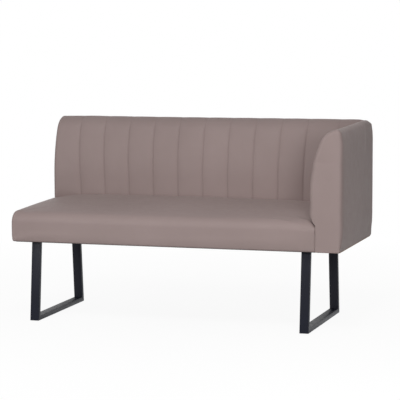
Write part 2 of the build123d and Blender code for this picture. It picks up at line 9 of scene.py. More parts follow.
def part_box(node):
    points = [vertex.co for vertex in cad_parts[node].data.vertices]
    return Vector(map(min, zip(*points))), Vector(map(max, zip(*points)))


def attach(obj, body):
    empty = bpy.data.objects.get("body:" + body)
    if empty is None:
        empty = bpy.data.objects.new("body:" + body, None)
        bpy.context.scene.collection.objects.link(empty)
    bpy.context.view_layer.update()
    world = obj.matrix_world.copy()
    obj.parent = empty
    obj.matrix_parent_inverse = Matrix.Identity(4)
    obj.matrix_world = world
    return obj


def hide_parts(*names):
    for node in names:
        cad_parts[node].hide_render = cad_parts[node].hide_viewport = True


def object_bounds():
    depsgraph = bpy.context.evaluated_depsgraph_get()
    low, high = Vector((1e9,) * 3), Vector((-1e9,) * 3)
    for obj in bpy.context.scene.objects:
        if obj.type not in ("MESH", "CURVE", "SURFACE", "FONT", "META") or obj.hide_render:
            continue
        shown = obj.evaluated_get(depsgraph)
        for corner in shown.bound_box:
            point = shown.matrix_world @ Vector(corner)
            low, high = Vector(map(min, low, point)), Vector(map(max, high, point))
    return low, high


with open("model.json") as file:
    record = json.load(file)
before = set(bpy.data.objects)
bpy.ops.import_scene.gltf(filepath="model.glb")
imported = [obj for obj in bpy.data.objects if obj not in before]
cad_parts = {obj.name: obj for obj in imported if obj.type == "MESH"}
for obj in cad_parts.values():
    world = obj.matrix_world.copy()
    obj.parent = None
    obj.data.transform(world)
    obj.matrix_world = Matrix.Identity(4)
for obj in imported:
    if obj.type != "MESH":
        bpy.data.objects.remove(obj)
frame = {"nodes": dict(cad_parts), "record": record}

bl_info = {
    "name": "Corner dining bench",
    "version": (1, 0, 0),
    "blender": (4, 5, 0),
    "location": "View3D > Sidebar > Bench",
    "description": "Upholstery, finishes and stage of a channelled corner dining bench",
    "category": "Object",
}

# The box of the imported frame, and the ends of the upholstered body in it
FRAME_LOW, FRAME_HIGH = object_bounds()
SEAT_LOW, SEAT_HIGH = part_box("seat_cover")
BACK_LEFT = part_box("back_end_cover")[0].x
BASE = SEAT_LOW.z
WALL_RISE = FRAME_HIGH.z - BASE
SEAT_RIGHT = SEAT_HIGH.x
SEAT_REAR = SEAT_HIGH.y

X, Y, Z = range(3)
LEFTWARD, RIGHTWARD = Vector((-1, 0, 0)), Vector((1, 0, 0))
FORWARD, REARWARD = Vector((0, -1, 0)), Vector((0, 1, 0))

LEATHER = "taupe faux leather"
# Attribute that holds the painted shade of a vertex, in seam folds and in the crease by the arm
PAINTED_SHADE = "seam"

# Vertices closer than the first are joined, and closer than the second lie on one plane
TOUCH, LEVEL = 1e-5, 1e-4


# ---- Sizes and colours


def length(name, description, default):
    """A property that holds a length in metres."""
    return bpy.props.FloatProperty(
        name=name, description=description, default=default, unit="LENGTH", precision=4
    )


def share(name, description, default):
    """A property that holds a plain number."""
    return bpy.props.FloatProperty(name=name, description=description, default=default)


def colour(name, description, default):
    """A property that holds a colour."""
    return bpy.props.FloatVectorProperty(
        name=name, description=description, default=default, subtype="COLOR", size=3, min=0, max=1
    )


class BenchWallSizes(bpy.types.PropertyGroup):
    """Section that the back and the arm share."""

    bulge: length("Bulge depth", "Depth of the wall at its fullest", 0.134)
    foot: length("Foot depth", "Depth of the wall beside the seat frame", 0.107)
    crest_radius: length("Crest radius", "Rounding of the padded top", 0.095)
    crest_setback: length("Crest setback", "Depth of the middle of the crest's rounding", 0.004)
    edge_radius: length("Outer edge radius", "Rounding of the outer top edge", 0.018)
    end_radius: length("End radius", "Rounding round the end panel", 0.016)
    hem_radius: length("Hem radius", "Rounding where the cover turns under the frame", 0.009)
    side_radius: length("Side radius", "Rounding between an end panel and the outer side", 0.016)
    corner_rise: length("Corner rise", "How far the crest fills out at the corner", 0.005)
    cloth_limit: length("Cloth limit", "Furthest that the cloth simulation moves a cover", 0.0035)
    side_bulge: length("Side bulge", "How far the padded outer side of the arm stands out", 0.008)
    bulge_share: share("Bulge height", "Height of the fullest point, as a share", 0.484)
    flat_share: share("Flat height", "Height where the face starts to tuck in, as a share", 0.342)
    tuck_share: share("Tuck height", "Height where the tuck meets the frame, as a share", 0.222)


class BenchChannelSizes(bpy.types.PropertyGroup):
    """Channels sewn into the back."""

    count: bpy.props.IntProperty(
        name="Channels", description="Number of channels", default=11, min=3
    )
    first_width: length("First channel width", "Width of the channel at the free end", 0.125)
    width: length("Channel width", "Distance from seam to seam", 0.118)
    fan: share("Fan", "Widening of the channels towards the top, as a share", 0.024)
    lean: length("Lean", "How far the seams lean at the top", 0.006)
    depth: length("Seam depth", "Depth of a seam on the face of the back", 0.007)
    top_depth: length("Seam depth on top", "Depth of a seam on the crest", 0.003)
    crease: length("Crease width", "Width of the narrow fold along a seam", 0.003)


class BenchSeatSizes(bpy.types.PropertyGroup):
    """Seat cushion."""

    edge_height: length("Edge height", "Height of the seat above its rounded front", 0.486)
    crown_rise: length("Crown rise", "Rise of the crown over the edge", 0.036)
    nose_radius: length("Nose radius", "Rounding of the front edge", 0.045)
    front_draw: length("Front draw", "How far the front draws in towards the hem", 0.005)
    end_radius: length("End radius", "Rounding of the free end", 0.012)


class BenchSteelSizes(bpy.types.PropertyGroup):
    """Skids."""

    corner: length("Tube corner", "Outer corner radius of the drawn tube", 0.0018)


class BenchFinishes(bpy.types.PropertyGroup):
    """Colours of the finishes."""

    leather: colour("Leather", "Main colour of the faux leather", (0.337, 0.26, 0.249))
    leather_deep: colour("Deep leather", "Darker clouding of the leather", (0.305, 0.235, 0.224))
    # Painted shade: the dark colour mixed into seam folds and the crease by the arm
    seam: colour("Seam", "Colour in the fold of a seam", (0.105, 0.08, 0.072))
    steel: colour("Powder coat", "Colour of the coated steel", (0.0052, 0.006, 0.0125))
    timber: colour("Timber", "Light colour of the softwood", (0.62, 0.44, 0.26))
    timber_grain: colour("Timber grain", "Dark colour of the softwood's grain", (0.42, 0.26, 0.13))
    plywood: colour("Plywood", "Face colour of the plywood", (0.66, 0.5, 0.32))
    hardboard: colour("Hardboard", "Colour of the hardboard", (0.2, 0.12, 0.07))
    webbing: colour("Webbing", "Colour of the webbing", (0.03, 0.03, 0.033))
    cloth: colour("Dust cloth", "Colour of the cloth underneath", (0.018, 0.018, 0.02))
    zinc: colour("Zinc", "Colour of the zinc-plated steel", (0.55, 0.56, 0.58))
    nylon: colour("Nylon", "Colour of the glides", (0.02, 0.02, 0.02))


# ---- Sections of the padded forms, in their own plane: depth or place, then height


def smooth_step(low, high, value):
    """Soft ramp from 0 at the low value to 1 at the high one."""
    part = min(max((value - low) / (high - low), 0.0), 1.0)
    return part * part * (3 - 2 * part)


def turn_between(start, end):
    """Angle of the line from one point of a section to another."""
    return math.atan2(end[1] - start[1], end[0] - start[0])


def wall_heights(wall):
    """Heights at which the padded side ends its tuck, starts it, and is fullest."""
    shares = (wall.tuck_share, wall.flat_share, wall.bulge_share)
    return [BASE + WALL_RISE * one for one in shares]


def wall_arcs(wall):
    """Arcs of the padded side, from the outer edge down: centre, first and last angle."""
    edge_centre = (wall.edge_radius, FRAME_HIGH.z - wall.edge_radius)
    edge_reach = wall.crest_radius - wall.edge_radius
    edge_rise = math.sqrt(edge_reach**2 - (wall.edge_radius - wall.crest_setback) ** 2)
    crest_centre = (wall.crest_setback, edge_centre[1] - edge_rise)
    tuck_height, flat_height, bulge_height = wall_heights(wall)
    reach = wall.bulge - wall.crest_setback
    rise = crest_centre[1] - bulge_height
    face_radius = (reach**2 + rise**2 - wall.crest_radius**2) / (2 * (reach - wall.crest_radius))
    face_centre = (wall.bulge - face_radius, bulge_height)
    step = wall.bulge - wall.foot
    tuck_radius = (step**2 + (flat_height - tuck_height) ** 2) / (2 * step)
    tuck_centre = (wall.bulge - tuck_radius, flat_height)
    edge_turn = turn_between(crest_centre, edge_centre)
    crest_turn = turn_between(face_centre, crest_centre)
    tuck_turn = -math.asin((flat_height - tuck_height) / tuck_radius)
    return {
        "edge": (edge_centre, math.pi, edge_turn),
        "crest": (crest_centre, edge_turn, crest_turn),
        "face": (face_centre, crest_turn, 0.0),
        "tuck": (tuck_centre, 0.0, tuck_turn),
        "flat": (wall.bulge, flat_height),
        "tuck_radius": tuck_radius,
        "tuck_height": tuck_height,
    }


def wall_face(wall, height):
    """Depth of the padded side at a height near the seat."""
    arcs = wall_arcs(wall)
    flat_height = arcs["flat"][1]
    if height >= flat_height:
        return wall.bulge
    if height <= arcs["tuck_height"]:
        return wall.foot
    drop = flat_height - height
    return arcs["tuck"][0][0] + math.sqrt(arcs["tuck_radius"] ** 2 - drop**2)


class SectionPen:
    """Draws one closed section as a chain of edges, with bmesh's own spin and extrude."""

    def __init__(self, mesh, place, axis, start):
        self.mesh = mesh
        self.place = place
        self.axis = axis
        self.first = mesh.verts.new(place(*start))
        self.last = self.first

    def stride_towards(self, end, steps, made):
        """Divide the way to a point into even steps, and make some of them."""
        stride = (end - self.last.co) / steps
        for _ in range(made):
            fresh = bmesh.ops.extrude_vert_indiv(self.mesh, verts=[self.last])
            self.last = fresh["verts"][0]
            bmesh.ops.translate(self.mesh, verts=[self.last], vec=stride)

    def line(self, end, steps):
        """Straight run to a point, in even steps."""
        self.stride_towards(self.place(*end), steps, steps)

    def arc(self, centre, first_angle, last_angle, steps):
        """Arc about a centre, from the present point."""
        made = bmesh.ops.spin(
            self.mesh,
            geom=[self.last],
            cent=self.place(*centre),
            axis=self.axis,
            angle=last_angle - first_angle,
            steps=steps,
        )
        self.last = next(
            part for part in made["geom_last"] if isinstance(part, bmesh.types.BMVert)
        )

    def hem(self, side, radius):
        """Quarter turn from the underside up to the outer side."""
        self.arc((side + radius, BASE + radius), 1.5 * math.pi, math.pi, steps=4)

    def close(self, steps):
        """Straight run back to the first point."""
        self.stride_towards(self.first.co, steps, steps - 1)
        self.mesh.edges.new((self.last, self.first))


def draw_wall_section(mesh, wall, place, axis):
    """Section of the back or the arm, from its hem over the crest and back to the underside."""
    arcs = wall_arcs(wall)
    pen = SectionPen(mesh, place, axis, (wall.hem_radius, BASE))
    pen.hem(0.0, wall.hem_radius)
    pen.line((0.0, arcs["edge"][0][1]), steps=16)
    pen.arc(*arcs["edge"], steps=7)
    pen.arc(*arcs["crest"], steps=18)
    pen.arc(*arcs["face"], steps=26)
    pen.line(arcs["flat"], steps=8)
    pen.arc(*arcs["tuck"], steps=8)
    pen.line((wall.foot, BASE), steps=10)
    pen.close(steps=8)
    return list(mesh.edges)


def draw_seat_section(mesh, wall, seat, nose):
    """Section of the seat, from its hem over the nose and the crown to the rear."""
    run, lift = SEAT_REAR - nose[0], seat.edge_height + seat.crown_rise - nose[1]
    crown_radius = (run**2 + lift**2 - seat.nose_radius**2) / (2 * (lift - seat.nose_radius))
    crown_centre = (SEAT_REAR, seat.edge_height + seat.crown_rise - crown_radius)
    crown_turn = turn_between(crown_centre, nose)
    rise = nose[1] - BASE
    front_radius = (seat.front_draw**2 + rise**2) / (2 * seat.front_draw)
    hem_turn = math.asin((rise - wall.hem_radius) / front_radius)
    hem_front = FRAME_LOW.y + front_radius * (1 - math.cos(hem_turn))
    pen = SectionPen(
        mesh,
        lambda across, height: Vector((FRAME_LOW.x, across, height)),
        RIGHTWARD,
        (hem_front + wall.hem_radius, BASE),
    )
    pen.hem(hem_front, wall.hem_radius)
    pen.arc((FRAME_LOW.y + front_radius, nose[1]), 0.0, -hem_turn, steps=10)
    pen.arc(nose, math.pi, crown_turn, steps=14)
    pen.arc(crown_centre, crown_turn, math.pi / 2, steps=44)
    pen.line((SEAT_REAR, BASE), steps=14)
    pen.close(steps=24)
    return list(mesh.edges)


# ---- Work on a swept form

# From an end's rounding to the first full section
END_GAP = 0.004
# Rounding of an end at its hem and beside the seat, and the flat rim inside it
HEM_ROUNDING, SEAT_ROUNDING, END_RIM = 0.005, 0.004, 0.003
END_STEPS = 6
# Heights over which an end's rounding changes
WALL_CHANGE, SEAT_CHANGE = 0.06, 0.05
# The crest fills out over this height, from this place
FILL_DEPTH, FILL_START = 0.25, -0.5
# Drop of the crest's outer corner, and its span
CORNER_DROP, CORNER_SPAN = 0.01, 0.06


def even_stops(start, end, count):
    """Places from start to end, in even steps."""
    return [start + (end - start) * step / count for step in range(count + 1)]


def extrude(mesh, edges):
    """Extrude a chain of edges on the spot, and give its new edges and vertices."""
    made = bmesh.ops.extrude_edge_only(mesh, edges=edges)["geom"]
    edges = [part for part in made if isinstance(part, bmesh.types.BMEdge)]
    return edges, [part for part in made if isinstance(part, bmesh.types.BMVert)]


def sweep(mesh, edges, direction, stops):
    """Draw a section out along a direction, past a list of stops."""
    for start, end in zip(stops, stops[1:]):
        edges, verts = extrude(mesh, edges)
        bmesh.ops.translate(mesh, verts=verts, vec=direction * (end - start))
    bmesh.ops.recalc_face_normals(mesh, faces=mesh.faces[:])


def rim_edges(mesh, axis=X, limit=math.inf):
    """Edges on the open rims of a form, up to a limit along an axis."""
    rims = [edge for edge in mesh.edges if len(edge.link_faces) == 1]
    return [edge for edge in rims if edge.verts[0].co[axis] < limit]


def fill_rim(mesh, edges):
    """Close an open rim with triangles."""
    bmesh.ops.triangle_fill(mesh, edges=edges, use_beauty=True, use_dissolve=False)


def ordered_ring(edges):
    """Vertices of a closed chain of edges, in order."""
    links = {}
    for edge in edges:
        for one, other in (edge.verts, reversed(edge.verts)):
            links.setdefault(one, []).append(other)
    first = edges[0].verts[0]
    ring = [first, links[first][0]]
    while True:
        ahead = [vert for vert in links[ring[-1]] if vert is not ring[-2]][0]
        if ahead is first:
            return ring
        ring.append(ahead)


def inward_sides(ring, outward):
    """For each vertex of a ring, the direction in the end's plane that points inwards."""
    middle = sum((vert.co for vert in ring), Vector()) / len(ring)
    sides = []
    for index in range(len(ring)):
        along = ring[(index + 1) % len(ring)].co - ring[index - 1].co
        sides.append(along.cross(outward).normalized())
    turn = sum(side.dot(middle - vert.co) for side, vert in zip(sides, ring))
    return [side if turn > 0 else -side for side in sides]


def round_end(mesh, edges, outward, radius_at):
    """Round a swept section over into a flat end, with its own radius at every point."""
    ring = ordered_ring(edges)
    trail = {}
    for vert, side in zip(ring, inward_sides(ring, outward)):
        trail[vert] = (vert.co.copy(), radius_at(vert.co), side)
    for vert, (origin, radius, _) in trail.items():
        vert.co = origin - outward * radius
    for step in range(1, END_STEPS + 2):
        edges, fresh = extrude(mesh, edges)
        follow = {}
        for old, facts in trail.items():
            for edge in old.link_edges:
                other = edge.other_vert(old)
                if other in fresh and other not in follow:
                    follow[other] = facts
        for vert, (origin, radius, side) in follow.items():
            if step <= END_STEPS:
                angle = math.pi / 2 * step / END_STEPS
                inwards = side * radius * (1 - math.cos(angle))
                vert.co = origin + inwards - outward * radius * (1 - math.sin(angle))
            else:
                vert.co = origin + side * (radius + END_RIM)
        trail = follow
    fill_rim(mesh, edges)


def hem_rounding(full, rise, height):
    """Radius of an end's rounding at a height: small at the hem, full a rise above it."""
    return HEM_ROUNDING + (full - HEM_ROUNDING) * smooth_step(BASE, BASE + rise, height)


def wall_rounding(wall, straight_side):
    """Radius of a wall end's rounding: full on the padded side, small at hem and seat."""
    tuck, flat, _ = wall_heights(wall)
    top = FRAME_HIGH.z - wall.edge_radius

    def radius_at(point):
        if straight_side(point) > wall.edge_radius:
            level = smooth_step(tuck, flat, point.z)
            return SEAT_ROUNDING + (wall.end_radius - SEAT_ROUNDING) * level
        upper = smooth_step(top - WALL_CHANGE, top, point.z)
        full = wall.side_radius + (wall.end_radius - wall.side_radius) * upper
        return hem_rounding(full, WALL_CHANGE, point.z)

    return radius_at


def close_cut(mesh, point, normal):
    """Cut a form off along a plane and close it."""
    parts = mesh.verts[:] + mesh.edges[:] + mesh.faces[:]
    cut = bmesh.ops.bisect_plane(
        mesh, geom=parts, dist=1e-6, plane_co=point, plane_no=normal, clear_outer=True
    )["geom_cut"]
    fill_rim(mesh, [part for part in cut if isinstance(part, bmesh.types.BMEdge)])


def shape_corner(mesh, rise):
    """Fill the crest out towards the corner of back and arm, and round off its outer corner."""
    top = FRAME_HIGH.z
    for vert in mesh.verts:
        level = smooth_step(top - FILL_DEPTH, top, vert.co.z)
        vert.co.z += rise * level * smooth_step(FILL_START, FRAME_HIGH.x, vert.co.x)
        away = math.hypot(FRAME_HIGH.x - vert.co.x, FRAME_HIGH.y - vert.co.y)
        level = smooth_step(top - CORNER_SPAN, top, vert.co.z)
        vert.co.z -= CORNER_DROP * level * (1 - smooth_step(0.0, CORNER_SPAN, away))


def finish_piece(mesh, name, material):
    """Turn a finished bmesh into a smooth piece that rides on the bench."""
    bmesh.ops.remove_doubles(mesh, verts=mesh.verts[:], dist=TOUCH)
    bmesh.ops.recalc_face_normals(mesh, faces=mesh.faces[:])
    data = bpy.data.meshes.new(name)
    mesh.to_mesh(data)
    mesh.free()
    data.materials.append(material)
    data.shade_smooth()
    piece = bpy.data.objects.new(name, data)
    bpy.context.collection.objects.link(piece)
    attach(piece, "root")
    return piece


def settle(context, piece, held_at):
    """Tighten a cover over its padding in a cloth simulation, held where it is sewn down."""
    data = piece.data
    group = piece.vertex_groups.new(name="held")
    for vert in data.vertices:
        group.add([vert.index], held_at(vert.co), "REPLACE")
    cloth = piece.modifiers.new("cover", "CLOTH")
    settings = cloth.settings
    settings.quality = 4
    settings.mass = 0.2
    settings.air_damping = 4.0
    settings.tension_stiffness = settings.compression_stiffness = 30.0
    settings.shear_stiffness = 30.0
    settings.bending_stiffness = 2.0
    settings.vertex_group_mass = group.name
    settings.pin_stiffness = 1.0
    settings.use_pressure = True
    settings.uniform_pressure_force = 4.0
    settings.effector_weights.gravity = 0.0
    cloth.collision_settings.use_collision = False
    scene = context.scene
    first, last = 1, 20
    scene.frame_start, scene.frame_end = first, last
    cloth.point_cache.frame_start, cloth.point_cache.frame_end = first, last
    for number in range(first, last + 1):
        scene.frame_set(number)
        context.view_layer.update()
    settled = piece.evaluated_get(context.evaluated_depsgraph_get()).data
    limit = scene.bench_wall.cloth_limit
    moves = [new.co - old.co for new, old in zip(settled.vertices, data.vertices)]
    for vert, move in zip(data.vertices, moves):
        vert.co += move * (limit / (limit + move.length))
    piece.modifiers.remove(cloth)
    piece.vertex_groups.remove(group)
    scene.frame_set(first)


def upholster(context, mesh, name, held_at):
    """Cover a finished form in leather, and let the cover settle."""
    piece = finish_piece(mesh, name, leather_material(context.scene.bench_finishes))
    settle(context, piece, held_at)
    return piece


# ---- Materials


def fill_in(node, **values):
    """Set a node's own inputs by their names."""
    for name, value in values.items():
        node.inputs[name.replace("_", " ")].default_value = value


class Nodes:
    """Short hand for building the nodes of a material or a world."""

    def __init__(self, owner):
        owner.use_nodes = True
        self.owner = owner
        self.tree = owner.node_tree

    def add(self, kind, **settings):
        """A new node with its settings."""
        node = self.tree.nodes.new(kind)
        for key, value in settings.items():
            setattr(node, key, value)
        return node

    def link(self, source, target):
        """Join an output to an input."""
        self.tree.links.new(source, target)

    def feed(self, socket, value):
        """Give an input a plain value or another node's output."""
        if isinstance(value, bpy.types.NodeSocket):
            self.link(value, socket)
        else:
            socket.default_value = value

    def maths(self, operation, first, second):
        """Sum, product or the like of two values or outputs."""
        node = self.add("ShaderNodeMath", operation=operation)
        for socket, value in zip(node.inputs, (first, second)):
            self.feed(socket, value)
        return node.outputs[0]

    def mapped(self, value, **limits):
        """Map an output from one range to another."""
        node = self.add("ShaderNodeMapRange")
        fill_in(node, **limits)
        self.link(value, node.inputs["Value"])
        return node.outputs["Result"]

    def seen(self):
        """1 for what is seen straight or mirrored, 0 for light on its way to the bench."""
        paths = self.add("ShaderNodeLightPath").outputs
        return self.maths("MAXIMUM", paths["Is Camera Ray"], paths["Is Glossy Ray"])


class Surface(Nodes):
    """Short hand for the patterns of a material."""

    def __init__(self, name):
        super().__init__(bpy.data.materials.new(name))
        self.shader = self.tree.nodes["Principled BSDF"]
        self.place = self.add("ShaderNodeTexCoord").outputs["Object"]

    def stretched(self, scale):
        """Object coordinates stretched along the axes."""
        node = self.add("ShaderNodeMapping")
        fill_in(node, Scale=scale)
        self.link(self.place, node.inputs["Vector"])
        return node.outputs["Vector"]

    def noise(self, scale, detail=3.0, roughness=0.5, vector=None):
        """Cloudy noise."""
        node = self.add("ShaderNodeTexNoise")
        fill_in(node, Scale=scale, Detail=detail, Roughness=roughness)
        self.link(vector or self.place, node.inputs["Vector"])
        return node.outputs["Fac"]

    def cells(self, scale):
        """Small round cells."""
        node = self.add("ShaderNodeTexVoronoi")
        fill_in(node, Scale=scale)
        self.link(self.place, node.inputs["Vector"])
        return node.outputs["Distance"]

    def ramp(self, factor, low=0.0, high=1.0):
        """Map a pattern's middle range to two values."""
        return self.mapped(factor, From_Min=0.3, From_Max=0.7, To_Min=low, To_Max=high)

    def blend(self, factor, first, second):
        """Mix two colours, each a colour or another node's output."""
        node = self.add("ShaderNodeMix", data_type="RGBA")
        self.link(factor, node.inputs["Factor"])
        sockets = [one for one in node.inputs if one.type == "RGBA"]
        for socket, value in zip(sockets, (first, second)):
            ready = isinstance(value, bpy.types.NodeSocket)
            self.feed(socket, value if ready else (*value, 1.0))
        return [one for one in node.outputs if one.type == "RGBA"][0]

    def paint(self, output):
        """Use an output as the surface's colour."""
        self.link(output, self.shader.inputs["Base Color"])

    def cloud(self, pattern, first, second):
        """Colour the surface in two tones, mixed by a pattern."""
        self.paint(self.blend(self.ramp(pattern), first, second))

    def roughen(self, pattern, low, high):
        """Vary the roughness by a pattern."""
        self.link(self.ramp(pattern, low, high), self.shader.inputs["Roughness"])

    def bump(self, height, strength, distance):
        """Raise the surface by a pattern."""
        node = self.add("ShaderNodeBump")
        fill_in(node, Strength=strength, Distance=distance)
        self.link(height, node.inputs["Height"])
        self.link(node.outputs["Normal"], self.shader.inputs["Normal"])


def toned(tone, factor):
    """A lighter or darker tone of a colour."""
    return [min(value * factor, 1.0) for value in tone]


def leather_material(finish):
    """Soft faux leather with a fine pebble grain, cloudy colour and painted shade that darkens seam
    folds and creases.
    """
    if LEATHER in bpy.data.materials:
        return bpy.data.materials[LEATHER]
    made = Surface(LEATHER)
    cloud = made.ramp(made.noise(2.6, detail=4.0, roughness=0.55))
    base = made.blend(cloud, finish.leather, finish.leather_deep)
    # Painted shade: the shade attribute mixes the seam colour in, darkening seam folds and the
    # crease by the arm
    fold = made.add("ShaderNodeAttribute", attribute_name=PAINTED_SHADE, attribute_type="GEOMETRY")
    made.paint(made.blend(fold.outputs["Fac"], base, finish.seam))
    pores = made.maths("MULTIPLY", made.noise(1500.0, detail=2.0), 0.35)
    made.bump(made.maths("ADD", made.cells(620.0), pores), strength=0.22, distance=0.0003)
    made.roughen(made.noise(38.0), 0.52, 0.62)
    fill_in(made.shader, Specular_IOR_Level=0.28, Sheen_Weight=0.05, Sheen_Roughness=0.4)
    return made.owner


def steel_material(finish):
    """Matt powder coat with a fine orange peel."""
    made = Surface("matt black powder coat")
    made.cloud(made.noise(9.0), finish.steel, toned(finish.steel, 1.35))
    made.bump(made.noise(420.0, detail=2.0), strength=0.05, distance=0.0001)
    made.roughen(made.noise(60.0, detail=2.0), 0.42, 0.5)
    fill_in(made.shader, Specular_IOR_Level=0.2)
    return made.owner


def wood_material(name, light, dark, along):
    """Planed wood with its grain along one axis."""
    made = Surface(name)
    stretch = [38.0, 38.0, 38.0]
    stretch[along] = 1.6
    finer = [value * 9 for value in stretch]
    rings = made.noise(1.0, detail=6.0, roughness=0.62, vector=made.stretched(stretch))
    fibres = made.noise(1.0, detail=2.0, roughness=0.6, vector=made.stretched(finer))
    parts = [made.maths("MULTIPLY", rings, 0.75), made.maths("MULTIPLY", fibres, 0.25)]
    made.cloud(made.maths("ADD", *parts), light, dark)
    made.bump(fibres, strength=0.2, distance=0.0004)
    made.roughen(rings, 0.6, 0.75)
    return made.owner


def cloth_material(name, tone, scale):
    """Dull woven or felted cloth with a fine thread pattern."""
    made = Surface(name)
    made.cloud(made.noise(scale / 30.0), tone, toned(tone, 1.6))
    made.bump(made.cells(scale), strength=0.4, distance=0.0004)
    fill_in(made.shader, Roughness=0.85, Specular_IOR_Level=0.2)
    return made.owner


def board_material(finish):
    """Pressed hardboard with short dark fibres."""
    made = Surface("hardboard")
    flecks = made.noise(240.0, detail=4.0, roughness=0.7)
    made.cloud(flecks, finish.hardboard, toned(finish.hardboard, 1.7))
    made.bump(flecks, strength=0.2, distance=0.0002)
    fill_in(made.shader, Roughness=0.7)
    return made.owner


def zinc_material(finish):
    """Zinc-plated steel, slightly cloudy."""
    made = Surface("zinc plate")
    haze = made.noise(120.0, detail=4.0)
    made.cloud(haze, finish.zinc, toned(finish.zinc, 0.75))
    made.roughen(haze, 0.3, 0.45)
    fill_in(made.shader, Metallic=1.0)
    return made.owner


def nylon_material(finish):
    """Black moulded nylon."""
    made = Surface("nylon")
    speckle = made.noise(500.0, detail=2.0)
    made.cloud(speckle, finish.nylon, toned(finish.nylon, 1.8))
    made.bump(speckle, strength=0.15, distance=0.0002)
    fill_in(made.shader, Roughness=0.55)
    return made.owner


def nodes_of(slot):
    """Names of the CAD nodes that take a slot of the record."""
    return [part["node"] for part in frame["record"]["subparts"] if part["material_slot"] == slot]


def dress(material, names):
    """Give a material to CAD nodes whose shape is kept."""
    for name in names:
        materials = frame["nodes"][name].data.materials
        materials.clear()
        materials.append(material)


# ---- Upholstery

# Height over the hem up to which a cover is held down
HEM_HOLD = 0.02

# How the seat's crown rises along its length, from the free end to the arm
CROWN_STATIONS = (0.0, 0.03, 0.07, 0.13, 0.22, 0.36, 0.52, 0.68, 0.84, 1.0)
CROWN_SHARES = (0.22, 0.5, 0.7, 0.84, 0.92, 0.97, 1.0, 0.98, 0.92, 0.78)
SEAT_SECTIONS = 168
# The free end swells out at half its height, and draws in over its lowest share
END_SWELL, END_DRAW, DRAW_SHARE, SWELL_SPAN = 0.003, 0.005, 0.3, 0.06
# Drop of the crown beside the arm and the back, and the width of each dip
ARM_DIP, ARM_DIP_SPAN = 0.017, 0.036
BACK_DIP, BACK_DIP_SPAN = 0.005, 0.03
# Width of the shaded crease by the arm, and its start and full depth over the nose
CREASE_SPAN, CREASE_LOW, CREASE_FULL = 0.016, 0.012, 0.026
# Room between the seat and the walls over it
PLAY = 0.0003


def crown_share(place):
    """Share of the crown's rise at a share of the seat's length, on a smooth curve."""
    last = len(CROWN_STATIONS) - 1
    for index in range(last):
        low, high = CROWN_STATIONS[index : index + 2]
        if place <= high:
            behind, ahead = max(index - 1, 0), min(index + 2, last)
            first, second = CROWN_SHARES[index : index + 2]
            span = high - low
            slope_first = (second - CROWN_SHARES[behind]) / (high - CROWN_STATIONS[behind])
            slope_second = (CROWN_SHARES[ahead] - first) / (CROWN_STATIONS[ahead] - low)
            part = min(max((place - low) / span, 0.0), 1.0)
            return (
                first * (1 + 2 * part) * (1 - part) ** 2
                + slope_first * span * part * (1 - part) ** 2
                + second * part**2 * (3 - 2 * part)
                - slope_second * span * part**2 * (1 - part)
            )
    return CROWN_SHARES[last]


